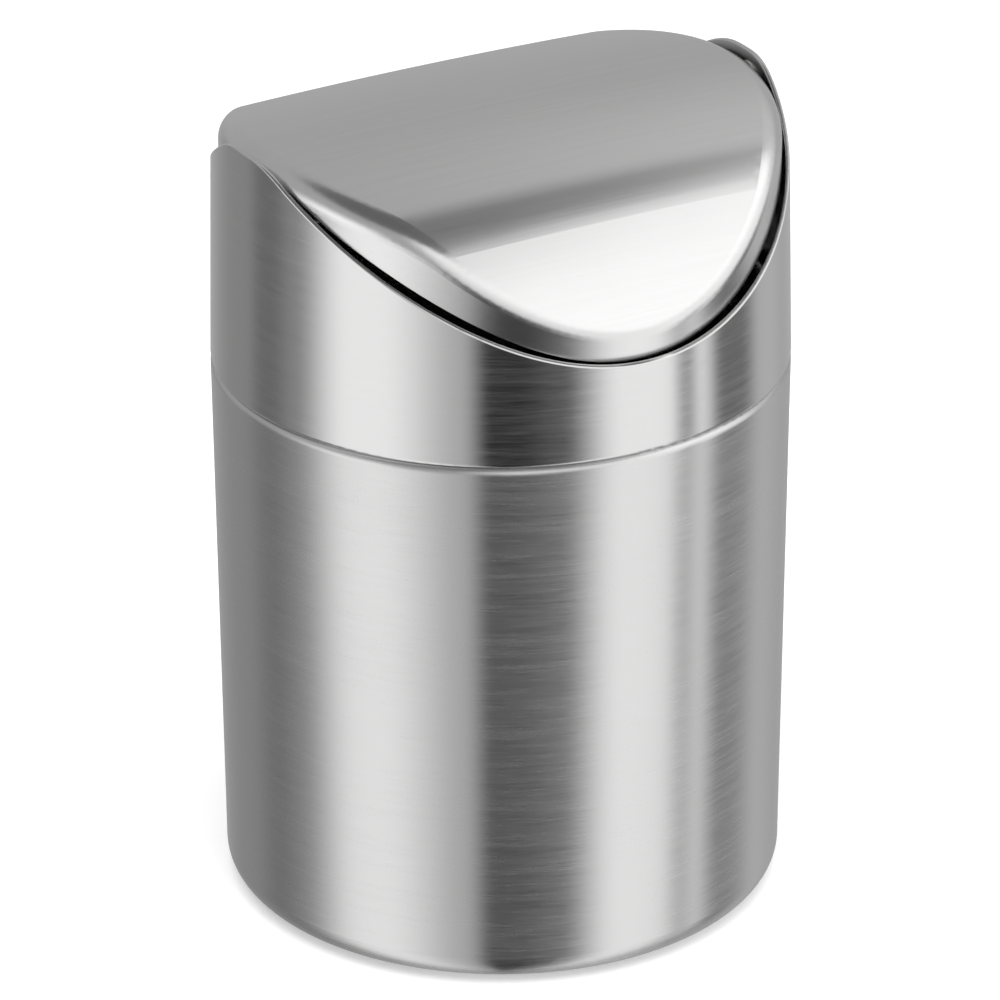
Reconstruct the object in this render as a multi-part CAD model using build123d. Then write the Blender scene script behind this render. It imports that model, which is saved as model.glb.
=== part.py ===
"""Countertop bin with a swing lid: a drawn steel can, a lift-off collar and a lid on two pivots.

Millimetres, +Z up. The origin is on the table, on the can's axis. The lid swings about an axis
parallel to X, and the bin's front faces -Y.
"""
from build123d import *
from math import asin, atan2, cos, degrees, radians, sin, sqrt
import os

# ---- Driving dimensions --------------------------------------------------------------------

sheet = 0.5                   # steel sheet of the can, the collar and the lid

# Foam pad under the can
pad_proud = 0.4               # how far the pad stands below the steel
pad_edge_round = 0.25

# Can
can_height = 118.0            # from the steel underside to the ledge that carries the collar
can_top_radius = 60.0
can_taper = 1.2               # radius lost from the shoulder to the foot
base_edge_radius = 5.8
foot_ring_width = 4.2         # flat ring between the rounded foot edge and the raised panel
panel_rise = 1.6              # raised panel in the base, which takes the pad
panel_margin = 1.2            # room left round the pad inside the panel
panel_bend = 1.2
shoulder_radius = 1.6
neck_setback = 2.5            # how far the neck stands in from the shoulder
neck_height = 11.0
neck_bend = 0.7
curl_width = 2.3              # curled mouth edge, across
curl_radius = 0.95
curl_depth = 1.9

# Collar
collar_taper = 1.2            # radius lost from the seam to the top of the ears
collar_bend = 0.9             # outer bend between the wall and the in-turned lip
lip_clearance = 0.1           # lip to the bend at the foot of the neck
ear_rise = 55.0               # top of the ears above the seam
front_rise = 19.4             # lowest point of the rim above the seam
ear_half_width = 7.2
ear_corner_radius = 20.0
rim_arc_radius = 250.0        # the rim's long side, seen from the end of the pivot axis
hem_thickness = 1.05
hem_depth = 2.1
hem_round = 0.4               # rounding of the folded edge, inside and outside

# Lid
lid_gap = 0.35                # lid skirt to the inside of the ears' hem
ridge_over_ears = 1.0
foot_over_rim = 5.9           # where a steep panel would meet the skirt, above the rim's low point
top_arc_radius = 110.0
knee_radius = 24.0
panel_arc_radius = 200.0      # the panel between knee and skirt is slightly full
panel_slope = 56.0            # degrees below level, where it would meet the skirt
crown_radius = 1350.0         # slight arching along the pivot axis
rolled_edge_radius = 4.8
edge_below_pivot = 0.8        # skirt's level edge beside the tabs
edge_level_half_width = 20.0
edge_over_rim = 0.2           # skirt's lowest point above the rim's
edge_arc_radius = 110.0

# Pivots
shank_radius = 1.3
shank_clearance = 0.05
shank_reach = 3.6             # from the stud's flange to the tip
shank_tip_round = 0.5
stud_flange_step = 1.3        # how far the flange stands out round the shank
stud_flange_thickness = 0.35
weld_gap = 0.05               # stud's flat flange to the curved ear, at the flange's rim
bush_wall = 0.7
bush_fit = 0.03               # bush to its hole
bush_flange_step = 0.95
bush_flange_thickness = 0.45
bush_edge_round = 0.12
bush_clip_step = 0.35
bush_clip_length = 0.8
bush_clip_clearance = 0.12    # clip to the inside of the tab
flange_below_hem = 1.5
tab_margin = 2.0              # steel left round the bush's flange

# ---- Worked out from these -----------------------------------------------------------------

can_base_radius = can_top_radius - can_taper
neck_radius = can_top_radius - neck_setback
panel_radius = can_base_radius - base_edge_radius - foot_ring_width - panel_rise
pad_radius = panel_radius - panel_margin
pad_thickness = pad_proud + panel_rise
collar_top_radius = can_top_radius - collar_taper
lid_radius = collar_top_radius - hem_thickness - lid_gap

bush_radius = shank_radius + shank_clearance + bush_wall
bush_flange_radius = bush_radius + bush_flange_step
tab_half_width = bush_flange_radius + tab_margin

seam_z = pad_proud + can_height
front_z = seam_z + front_rise
ear_z = seam_z + ear_rise
ridge_z = ear_z + ridge_over_ears
foot_z = front_z + foot_over_rim
pivot_z = ear_z - hem_depth - flange_below_hem - bush_flange_radius

reach = can_top_radius + 10.0             # half length of every cutting tool


# ---- Shared shapes -------------------------------------------------------------------------

def bent_sheet(corners, bends):
    """Section of a bent sheet: its outer face follows the corners, its thickness lies to their left."""
    points = [Vector(*corner) for corner in corners]
    runs = [(end - start).normalized() for start, end in zip(points, points[1:])]
    sides = [Vector(-run.Y, run.X) for run in runs]
    inner_points = [points[0] + sides[0] * sheet]
    inner_bends = []
    for index, bend in enumerate(bends):
        before, after = sides[index], sides[index + 1]
        inner_points.append(points[index + 1] + (before + after) * (sheet / (1 + before.dot(after))))
        turns_left = runs[index].cross(runs[index + 1]).Z > 0
        inner_bends.append(bend - sheet if turns_left else bend + sheet)
    inner_points.append(points[-1] + sides[-1] * sheet)
    outer = FilletPolyline(*points, radius=bends)
    inner = FilletPolyline(*inner_points, radius=inner_bends)
    ends = [Line(points[0], inner_points[0]), Line(points[-1], inner_points[-1])]
    return make_face(outer.edges() + inner.edges() + ends)


def sheet_of_revolution(corners, bends):
    """Bent sheet turned about the Z axis, from corners in (radius, height)."""
    return revolve(Plane.XZ * bent_sheet(corners, bends), Axis.Z)


def both_halves(half):
    """Closed face from the +y half of an outline in (y, z)."""
    return make_face(half + [mirror(edge, Plane.YZ) for edge in half])


def through(face):
    """Extrude a face in (y, z) both ways along X, past the whole object."""
    return extrude(Plane.YZ * face, reach, both=True)


def turned_about_pivot(corners):
    """Solid turned about the pivot axis, from corners in (x, distance from the axis)."""
    section = Plane.XZ * make_face(Polyline(*corners, close=True))
    return Pos(0, 0, pivot_z) * revolve(section, Axis.X)


# ---- Can -----------------------------------------------------------------------------------

def make_can_body():
    """Drawn can: raised base panel, tapered wall, shoulder, neck and curled mouth."""
    mouth_z = seam_z + neck_height
    mouth_radius = neck_radius - curl_width
    corners = [
        (0, pad_thickness),
        (panel_radius, pad_thickness),
        (panel_radius + panel_rise, pad_proud),
        (can_base_radius, pad_proud),
        (can_top_radius, seam_z),
        (neck_radius, seam_z),
        (neck_radius, mouth_z),
        (mouth_radius, mouth_z),
        (mouth_radius, mouth_z - curl_depth),
    ]
    bends = [panel_bend, panel_bend, base_edge_radius, shoulder_radius, neck_bend,
             curl_radius, curl_radius]
    return sheet_of_revolution(corners, bends)


def make_base_pad():
    """Foam disc in the raised panel, standing a little below the steel."""
    pad = Pos(0, 0, pad_thickness / 2) * Cylinder(pad_radius, pad_thickness)
    return fillet(pad.edges().group_by(Axis.Z)[0], pad_edge_round)


# ---- Collar --------------------------------------------------------------------------------

def collar_radius(z):
    """Outer radius of the collar's wall at the height z."""
    return can_top_radius - collar_taper * (z - seam_z) / ear_rise


def above_rim(drop=0.0):
    """Solid that removes everything above the rim, lowered by drop."""
    ear_corner = Vector(ear_half_width, ear_z - drop)
    low_point = Vector(collar_radius(front_z), front_z - drop)
    side = RadiusArc(ear_corner, low_point, rim_arc_radius)
    beyond = low_point + (side % 1) * reach
    top = Vector(beyond.X, ear_z + reach)
    half = [Line((0, ear_corner.Y), ear_corner), side, Line(low_point, beyond), Line(beyond, top),
            Line(top, (0, top.Y))]
    face = both_halves(half)
    ear_corners = [vertex for vertex in face.vertices()
                   if abs(vertex.Y - ear_corner.Y) < sheet and abs(vertex.X) > ear_half_width / 2]
    return through(fillet(ear_corners, ear_corner_radius))


def make_collar():
    """Tapered ring with an in-turned lip below, saddle-cut above, its rim folded in as a hem."""
    lip_radius = neck_radius + neck_bend + lip_clearance
    top_z = ear_z + hem_depth
    corners = [(lip_radius, seam_z), (can_top_radius, seam_z), (collar_radius(top_z), top_z)]
    wall = sheet_of_revolution(corners, [collar_bend])
    fold_z = front_z - 2 * hem_depth
    fold_corners = [
        (collar_radius(fold_z) - hem_thickness, fold_z),
        (collar_radius(fold_z) - sheet / 2, fold_z),
        (collar_radius(top_z) - sheet / 2, top_z),
        (collar_radius(top_z) - hem_thickness, top_z),
    ]
    fold = revolve(Plane.XZ * make_face(Polyline(*fold_corners, close=True)), Axis.Z)
    blank = wall + (fold & above_rim(hem_depth))
    cutter = above_rim()
    ring = blank - cutter
    rim_edges = [edge for edge in new_edges(blank, cutter, combined=ring)
                 if edge.length > 2 * hem_thickness]
    return fillet(rim_edges, hem_round)


# ---- Lid -----------------------------------------------------------------------------------

def leaning(angle):
    """Unit vector in (y, z) that leans the given angle from upright."""
    return Vector(sin(angle), cos(angle))


def arc(center, radius, start, end):
    """Arc in (y, z) between two leans from upright."""
    return ThreePointArc(*[center + leaning(angle) * radius
                           for angle in (start, (start + end) / 2, end)])


def arch_half(inset):
    """The +y half of the lid's section in (y, z), inset from its outer face: three tangent arcs."""
    foot_lean = radians(panel_slope)
    top_center = Vector(0, ridge_z - top_arc_radius)
    panel_center = Vector(lid_radius, foot_z) - leaning(foot_lean) * panel_arc_radius
    # The knee touches the other two arcs from inside, which fixes its centre's distance from theirs.
    from_top = top_arc_radius - knee_radius
    from_panel = panel_arc_radius - knee_radius
    apart = panel_center - top_center
    along = (from_top ** 2 - from_panel ** 2 + apart.length ** 2) / (2 * apart.length)
    aside = sqrt(from_top ** 2 - along ** 2)
    towards = apart.normalized()
    to_knee = towards * along + Vector(towards.Y, -towards.X) * aside
    knee_center = top_center + to_knee
    to_panel = knee_center - panel_center
    top_lean = atan2(to_knee.X, to_knee.Y)
    panel_lean = atan2(to_panel.X, to_panel.Y)
    beyond_lean = foot_lean + reach / panel_arc_radius
    return [
        arc(top_center, top_arc_radius - inset, 0, top_lean),
        arc(knee_center, knee_radius - inset, top_lean, panel_lean),
        arc(panel_center, panel_arc_radius - inset, panel_lean, beyond_lean),
    ]


def lid_block(inset):
    """What the lid's outer face, or its inner face, encloses: arched top, rolled edge, skirt."""
    half = arch_half(inset)
    low = half[-1] @ 1
    section = Plane.YZ * both_halves(half + [Line(low, (0, low.Y))])
    crown_axis = Axis((0, 0, ridge_z - crown_radius), (0, 1, 0))
    half_sweep = degrees(asin(reach / crown_radius))
    arch = revolve(section.rotate(crown_axis, -half_sweep), crown_axis, 2 * half_sweep)
    skirt = Pos(0, 0, ridge_z) * Cylinder(lid_radius - inset, 2 * reach)
    block = arch & skirt
    top_edges = [edge for edge in new_edges(arch, skirt, combined=block)
                 if edge.bounding_box().max.Z > front_z]
    return fillet(top_edges, rolled_edge_radius - inset)


def below_skirt():
    """Solid that trims the skirt along the rim, and leaves the two hinge tabs."""
    level_z = pivot_z - edge_below_pivot
    level_end = Vector(edge_level_half_width, level_z)
    low_point = Vector(lid_radius, front_z + edge_over_rim)
    side = RadiusArc(level_end, low_point, edge_arc_radius)
    beyond = low_point + (side % 1) * reach
    half = [Line((0, level_z), level_end), side, Line(low_point, beyond),
            Line(beyond, (0, beyond.Y))]
    tab = Pos(0, pivot_z) * Circle(tab_half_width)
    return through(both_halves(half) - tab)


def make_swing_lid():
    """Stamped lid: arched shell with steep panels, skirt cut to the rim, and holed hinge tabs."""
    shell = lid_block(0) - lid_block(sheet)
    hole = Pos(0, 0, pivot_z) * Rot(0, 90, 0) * Cylinder(bush_radius + bush_fit, 2 * reach)
    return shell - below_skirt() - hole


# ---- Pivots --------------------------------------------------------------------------------

def make_right_bush():
    """Flanged plastic bush in the right tab: flange outside, clip lip inside."""
    bore = shank_radius + shank_clearance
    outer_x = lid_radius + bush_flange_thickness
    clip_x = lid_radius - sheet - bush_clip_clearance
    inner_x = clip_x - bush_clip_length
    corners = [
        (inner_x, bore),
        (outer_x, bore),
        (outer_x, bush_flange_radius),
        (lid_radius, bush_flange_radius),
        (lid_radius, bush_radius),
        (clip_x, bush_radius),
        (clip_x, bush_radius + bush_clip_step),
        (inner_x, bush_radius),
    ]
    bush = turned_about_pivot(corners)
    return fillet(bush.edges().group_by(Axis.X)[-1].sort_by(SortBy.LENGTH)[-1], bush_edge_round)


def make_right_stud():
    """Turned steel stud, its flat flange welded to the inside of the right ear."""
    flange_radius = shank_radius + stud_flange_step
    ear_inside = collar_radius(pivot_z + flange_radius) - sheet
    back_x = sqrt(ear_inside ** 2 - flange_radius ** 2) - weld_gap
    flange_x = back_x - stud_flange_thickness
    tip_x = flange_x - shank_reach
    corners = [
        (tip_x, 0),
        (tip_x, shank_radius),
        (flange_x, shank_radius),
        (flange_x, flange_radius),
        (back_x, flange_radius),
        (back_x, 0),
    ]
    stud = turned_about_pivot(corners)
    return fillet(stud.edges().group_by(Axis.X)[0], shank_tip_round)


# ---- All pieces ----------------------------------------------------------------------------

right_bush = make_right_bush()
right_stud = make_right_stud()
pieces = {
    "can_body": make_can_body(),
    "base_pad": make_base_pad(),
    "collar": make_collar(),
    "swing_lid": make_swing_lid(),
    "pivot_bush_left": mirror(right_bush, Plane.YZ),
    "pivot_bush_right": right_bush,
    "pivot_stud_left": mirror(right_stud, Plane.YZ),
    "pivot_stud_right": right_stud,
}

os.makedirs("parts", exist_ok=True)
for name, piece in pieces.items():
    export_step(piece, f"parts/{name}.step")
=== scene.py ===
"""Countertop bin with a swing lid: steel can, lift-off collar and arched lid, in a plain pale studio."""
import bmesh
import bpy
from math import cos, degrees, radians, sin
from mathutils import Matrix, Vector


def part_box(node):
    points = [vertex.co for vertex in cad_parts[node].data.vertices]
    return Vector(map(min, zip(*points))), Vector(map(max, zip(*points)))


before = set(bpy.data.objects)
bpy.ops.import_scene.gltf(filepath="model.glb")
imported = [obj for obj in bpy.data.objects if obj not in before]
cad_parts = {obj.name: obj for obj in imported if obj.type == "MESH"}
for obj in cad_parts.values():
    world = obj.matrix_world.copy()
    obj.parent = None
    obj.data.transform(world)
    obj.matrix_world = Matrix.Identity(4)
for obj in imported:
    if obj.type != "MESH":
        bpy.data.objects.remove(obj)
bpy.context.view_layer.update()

scene = bpy.context.scene

# ---- Studio -----------------------------------------------------------------------------------
# A pale table top in a round tent of white cloth. Two tall panels light the bin's sides, with a
# dark gap over the camera between them, a wide cloth leans over it, and the roof is left open.


class Value:
    """One socket of a node tree, with the arithmetic that the shaders below are written in."""

    def __init__(self, tree, socket):
        self.tree = tree
        self.socket = socket

    def math(self, operation, *others):
        outputs = node(self.tree, "Math", dict(operation=operation))
        made = outputs["Value"].socket.node
        for slot, value in zip(made.inputs, (self,) + others):
            plug(self.tree, slot, value)
        return outputs["Value"]

    def __add__(self, other):
        return self.math("ADD", other)

    def __sub__(self, other):
        return self.math("SUBTRACT", other)

    def __mul__(self, other):
        return self.math("MULTIPLY", other)

    def __truediv__(self, other):
        return self.math("DIVIDE", other)

    def __rsub__(self, other):
        return self.math("MULTIPLY", -1.0) + other

    def __pow__(self, other):
        return self.math("POWER", other)

    __radd__ = __add__
    __rmul__ = __mul__

    def ramp(self, low, high):
        """0 up to low, 1 from high on, smooth between."""
        return node(self.tree, "MapRange", dict(interpolation_type="SMOOTHSTEP"),
                    Value=self, From_Min=low, From_Max=high)["Result"]


def plug(tree, slot, value):
    """Link a value to a node's input, or set it where it is a plain number or colour."""
    if isinstance(value, Value):
        tree.links.new(value.socket, slot)
    else:
        slot.default_value = value


def feed(tree, made, **values):
    """Plug values into a node's inputs by their names, written with _ for each space."""
    for name, value in values.items():
        plug(tree, made.inputs[name.replace("_", " ")], value)


def node(tree, kind, settings=None, **values):
    """Add a shader node: its settings first, then its inputs.

    Returns its outputs by name, the first one where two have the same name.
    """
    made = tree.nodes.new("ShaderNode" + kind)
    for name, value in (settings or {}).items():
        setattr(made, name, value)
    feed(tree, made, **values)
    return {out.name: Value(tree, out) for out in reversed(made.outputs)}


camera_azimuth = -119.65      # degrees from +X, where the camera stands

world = bpy.data.worlds.new("studio_tent")
scene.world = world
world.use_nodes = True
sky = world.node_tree
sky.nodes.clear()
look = node(sky, "SeparateXYZ", Vector=node(sky, "TexCoord")["Generated"])
turned = radians(camera_azimuth)
ahead = look["X"] * cos(turned) + look["Y"] * sin(turned)
rightward = look["Y"] * cos(turned) - look["X"] * sin(turned)
around = rightward.math("ARCTAN2", ahead) * degrees(1)         # round from the camera, left negative
height = look["Z"].math("ARCSINE") * degrees(1)
forward_tip = (look["Y"] * -1.0).math("ARCTAN2", look["Z"]) * degrees(1)     # 0 overhead, 90 front

# Near the table: light at each step round from the camera, from behind by the left to the right.
low = 0.47 - 0.14 * around.ramp(-172, -130)
low = low - 0.13 * around.ramp(-120, -108)             # a narrow dark card
low = low + 0.13 * around.ramp(-102, -88)
low = low + 0.96 * around.ramp(-89, -62)               # left panel, bright at its outer end
low = low - 0.68 * around.ramp(-48, -13)
low = low - 0.58 * around.ramp(-16, -4)                # gap over the camera
low = low + 0.09 * around.ramp(6, 26)
low = low + 1.15 * around.ramp(24, 49)                 # right panel
low = low - 0.85 * around.ramp(69, 77)                 # two dark cards, with a lit strip between
low = low + 0.64 * around.ramp(79, 85)
low = low - 0.88 * around.ramp(86, 97)
low = low + 0.43 * around.ramp(110, 124)
low = low - 0.12 * around.ramp(132, 150)

# Higher up the left panel ends, and the wide cloth joins the right one across the camera. It is
# brightest at its top. Behind the roof the tent is a little brighter too, above all on the right.
left_panel = 1.01 * around.ramp(-100, -68) - 1.01 * around.ramp(-52, -32)
high = 0.49 + left_panel * (1.0 - height.ramp(2, 26))
cloth = 0.80 * around.ramp(-22, 8) + 0.28 * around.ramp(20, 70)
cloth = cloth * (1.0 - around.ramp(102, 126))
high = high + cloth * (0.7 + 0.3 * height.ramp(8, 30))
behind = forward_tip.ramp(-65, -30) * (1.0 - forward_tip.ramp(0, 20))
high = high + behind * (0.03 + 0.24 * look["X"].ramp(0.38, 0.54))

# The low light gives way to the high light about level with the table, a little lower on the right.
upper = (height + 5.0 * around.ramp(45, 75)).ramp(-10, 4)

# The open roof is a dark round hole, a little to the left and front of straight up.
roof = Vector((-0.08, -0.155, 0.985))
roof_inner = 33               # degrees from the hole's middle to where its edge begins
roof_outer = 42
roof_light = 0.16
off_roof = look["X"] * roof.x + look["Y"] * roof.y + look["Z"] * roof.z
off_roof = off_roof.math("ARCCOSINE") * degrees(1)
hole = 1.0 - off_roof.ramp(roof_inner, roof_outer)
glow = (low * (1.0 - upper) + high * upper) * (1.0 - hole) + roof_light * hole

# The bin reflects the tent, and behind the bin stands a plain white backdrop.
tent = node(sky, "Background", Color=(1, 1, 1, 1), Strength=glow)["Background"]
backdrop = node(sky, "Background", Color=(1, 1, 1, 1), Strength=1.0)["Background"]
seen = sky.nodes.new("ShaderNodeMixShader")
plug(sky, seen.inputs[0], node(sky, "LightPath")["Is Camera Ray"])
plug(sky, seen.inputs[1], tent)
plug(sky, seen.inputs[2], backdrop)
sky.links.new(seen.outputs[0], sky.nodes.new("ShaderNodeOutputWorld").inputs["Surface"])


def material(name):
    """A new material. Returns it, its node tree and its Principled shader."""
    made = bpy.data.materials.new(name)
    made.use_nodes = True
    return made, made.node_tree, made.node_tree.nodes["Principled BSDF"]


def grey(tree, tone):
    """A colour that is as red as it is green and blue."""
    return node(tree, "CombineColor", Red=tone, Green=tone, Blue=tone)["Color"]


table_size = 2.4
table_drop = 0.0001           # keeps the table and the foam pad out of one plane
table_mesh = bmesh.new()
bmesh.ops.create_grid(table_mesh, x_segments=8, y_segments=8, size=table_size / 2,
                      matrix=Matrix.Translation((0, 0, -table_drop)))
table_data = bpy.data.meshes.new("table_top")
table_mesh.to_mesh(table_data)
table_mesh.free()
table_top = bpy.data.objects.new("table_top", table_data)
scene.collection.objects.link(table_top)
table_top.visible_glossy = False

table_white, tree, shader = material("table_white")
place = node(tree, "TexCoord")["Object"]
speckle = node(tree, "TexNoise", Vector=place, Scale=400.0, Detail=3.0)["Fac"] - 0.5
feed(tree, shader, Base_Color=grey(tree, 0.9 + 0.01 * speckle), Roughness=0.6 + 0.1 * speckle,
     Emission_Color=(1, 1, 1, 1), Emission_Strength=0.3)
table_data.materials.append(table_white)

lamp = bpy.data.lights.new("overhead_cloth", "AREA")
lamp.shape = "DISK"
lamp.size = 1.6
lamp.energy = 22
overhead = bpy.data.objects.new("overhead_cloth", lamp)
overhead.location = (-0.25, -0.35, 1.5)
overhead.rotation_euler = (-overhead.location).to_track_quat("-Z", "Y").to_euler()
overhead.visible_glossy = False
scene.collection.objects.link(overhead)

# ---- Camera -----------------------------------------------------------------------------------
# It stands 1.4 m off, 30 degrees left of the front, and looks 25 degrees down through a long
# lens. It is level but for a fifth of a degree of roll.

camera_place = Vector((-0.60701, -1.06643, 0.66692))
camera_roll = 0.0033          # radians
forward = Vector((0.4467, 0.7848, -0.4296)).normalized()

camera_data = bpy.data.cameras.new("camera")
camera_data.sensor_width = 36
camera_data.lens = 234
camera_data.shift_x = -0.0012
camera_data.clip_start = 0.05
camera = bpy.data.objects.new("camera", camera_data)
scene.collection.objects.link(camera)
scene.camera = camera
right = forward.cross(Vector((0, 0, 1))).normalized()
up = right.cross(forward)
roll = Matrix.Rotation(camera_roll, 3, forward)
basis = Matrix((roll @ right, roll @ up, -forward)).transposed()
camera.matrix_world = Matrix.Translation(camera_place) @ basis.to_4x4()

scene.view_settings.view_transform = "Standard"

# ---- Can body ---------------------------------------------------------------------------------
# A drawn can of 0.5 mm stainless sheet, with a rolled base edge and a drawn-in neck.
# It is brushed round its axis with a fairly coarse belt, so that reflections smear up and down.

round_brushing = (120, 120, 3000)      # lines per metre along x, y and z, for can and collar
round_tone = 0.62


def turned_normal(tree, steepest=0.05):
    """The mesh's normal with its small lean round the Z axis taken out, as on a truly round wall.

    A lean past steepest is real, as on the saddle rim, and stays.
    """
    point = node(tree, "SeparateXYZ", Vector=node(tree, "TexCoord")["Object"])
    facing = node(tree, "SeparateXYZ", Vector=node(tree, "TexCoord")["Normal"])
    radius = (point["X"] ** 2.0 + point["Y"] ** 2.0) ** 0.5
    across_x = point["Y"] / radius * -1.0
    across_y = point["X"] / radius
    lean = facing["X"] * across_x + facing["Y"] * across_y
    lean = lean * (1.0 - lean.math("ABSOLUTE").ramp(steepest, 1.5 * steepest))
    return node(tree, "CombineXYZ", X=facing["X"] - lean * across_x, Y=facing["Y"] - lean * across_y,
                Z=facing["Z"])["Vector"]


def relief(tree, pattern, strength, depth, wall=None):
    """The normal of a pattern of heights, depth in metres, over the mesh or over a given wall."""
    under = {} if wall is None else dict(Normal=wall)
    return node(tree, "Bump", Height=pattern, Strength=strength, Distance=depth, **under)["Normal"]


def brushed_steel(name, brushing, tone, roughness, contrast, smear=0.0):
    """Steel with fine brush lines, brushing per metre along x, y and z.

    contrast is how much rougher a deep brush line is than the steel between the lines. smear, up
    to 1, is how far a round wall draws its reflections out along its axis.
    """
    made, tree, shader = material(name)
    place = node(tree, "TexCoord")["Object"]
    fine = node(tree, "Mapping", Vector=place, Scale=brushing)["Vector"]
    lines = node(tree, "TexNoise", Vector=fine, Scale=1.0, Detail=4.0, Roughness=0.7)["Fac"]
    bands_per_line = 0.22
    banding = [lines_per_m * bands_per_line for lines_per_m in brushing]
    wide = node(tree, "Mapping", Vector=place, Scale=banding)["Vector"]
    bands = node(tree, "TexNoise", Vector=wide, Scale=1.0, Detail=3.0, Roughness=0.6)["Fac"]
    patches = node(tree, "TexNoise", Vector=place, Scale=35.0, Detail=2.0)["Fac"] - 0.5
    grain = 0.6 * lines + 0.4 * bands - 0.5
    shade = tone * (1.0 + 0.15 * grain)
    feed(tree, shader, Metallic=1.0, Roughness=roughness + contrast * grain + 0.03 * patches,
         Base_Color=node(tree, "CombineColor", Red=shade, Green=shade, Blue=shade * 0.997)["Color"])
    if smear:
        quarter_turn = 0.25            # from round the axis to along it
        feed(tree, shader, Anisotropic=smear, Anisotropic_Rotation=quarter_turn)
    wall = turned_normal(tree) if smear else None
    feed(tree, shader, Normal=relief(tree, lines, strength=0.05, depth=0.00003, wall=wall))
    return made


def paint(name, made):
    """Give a CAD node its finish."""
    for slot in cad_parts[name].material_slots:
        slot.material = made


paint("can_body", brushed_steel("can_steel", round_brushing, round_tone, roughness=0.25,
                                contrast=0.22, smear=1.0))

# ---- Foam pad ---------------------------------------------------------------------------------
# A disc of black closed-cell foam, glued under the can's base so that it doesn't slide or ring.

foam, tree, shader = material("pad_foam")
place = node(tree, "TexCoord")["Object"]
cells = node(tree, "TexVoronoi", Vector=place, Scale=1100.0)["Distance"]
patches = node(tree, "TexNoise", Vector=place, Scale=60.0, Detail=3.0)["Fac"]
feed(tree, shader, Base_Color=grey(tree, 0.014 + 0.016 * cells + 0.008 * patches),
     Roughness=0.85 + 0.12 * cells, Normal=relief(tree, cells, strength=0.6, depth=0.0004))
paint("base_pad", foam)

# ---- Collar -----------------------------------------------------------------------------------
# A ring of the same sheet that slips over the can's neck. Its top is cut to a saddle with two
# ears and folded over in a hem. It is brushed round the axis too, but polished closer.

paint("collar", brushed_steel("collar_steel", round_brushing, round_tone, roughness=0.18,
                              contrast=0.35, smear=0.85))

# ---- Pivot studs ------------------------------------------------------------------------------
# Steel pins turned on a lathe and spot-welded inside the ears: fine rings run round their axis,
# which is the lid's pivot axis along X.

low_corner, high_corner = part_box("pivot_stud_left")
pivot_height = (low_corner[2] + high_corner[2]) / 2
rings_per_m = 9000.0

stud_steel, tree, shader = material("stud_steel")
place = node(tree, "SeparateXYZ", Vector=node(tree, "TexCoord")["Object"])
off_axis = (place["Y"] ** 2.0 + (place["Z"] - pivot_height) ** 2.0) ** 0.5
rings = node(tree, "TexNoise", dict(noise_dimensions="1D"), W=off_axis * rings_per_m, Detail=2.0)["Fac"]
feed(tree, shader, Base_Color=grey(tree, 0.56 * (1.0 + 0.2 * (rings - 0.5))), Metallic=1.0,
     Roughness=0.3 + 0.12 * (rings - 0.5), Normal=relief(tree, rings, strength=0.15, depth=0.00003))
for side in ("left", "right"):
    paint("pivot_stud_" + side, stud_steel)

# ---- Swing lid --------------------------------------------------------------------------------
# Stamped from one sheet: a shallow arch, a knee, and a flat face down to a rolled edge on each
# side. It is brushed straight along the pivot axis, more faintly than the can.

paint("swing_lid", brushed_steel("lid_steel", (25, 2200, 2200), tone=0.66, roughness=0.24,
                                 contrast=0.08))

# ---- Pivot bushes -----------------------------------------------------------------------------
# White nylon, moulded with a satin grain, and clipped into the lid's two tabs.

nylon, tree, shader = material("bush_nylon")
place = node(tree, "TexCoord")["Object"]
satin = node(tree, "TexNoise", Vector=place, Scale=2500.0, Detail=3.0)["Fac"]
flow = node(tree, "TexNoise", Vector=place, Scale=250.0, Detail=2.0)["Fac"]
milky = 0.77 + 0.05 * (flow - 0.5)
feed(tree, shader, Roughness=0.45 + 0.15 * (satin - 0.5),
     Normal=relief(tree, satin, strength=0.2, depth=0.00005),
     Base_Color=node(tree, "CombineColor", Red=milky, Green=milky * 0.985, Blue=milky * 0.95)["Color"])
for side in ("left", "right"):
    paint("pivot_bush_" + side, nylon)
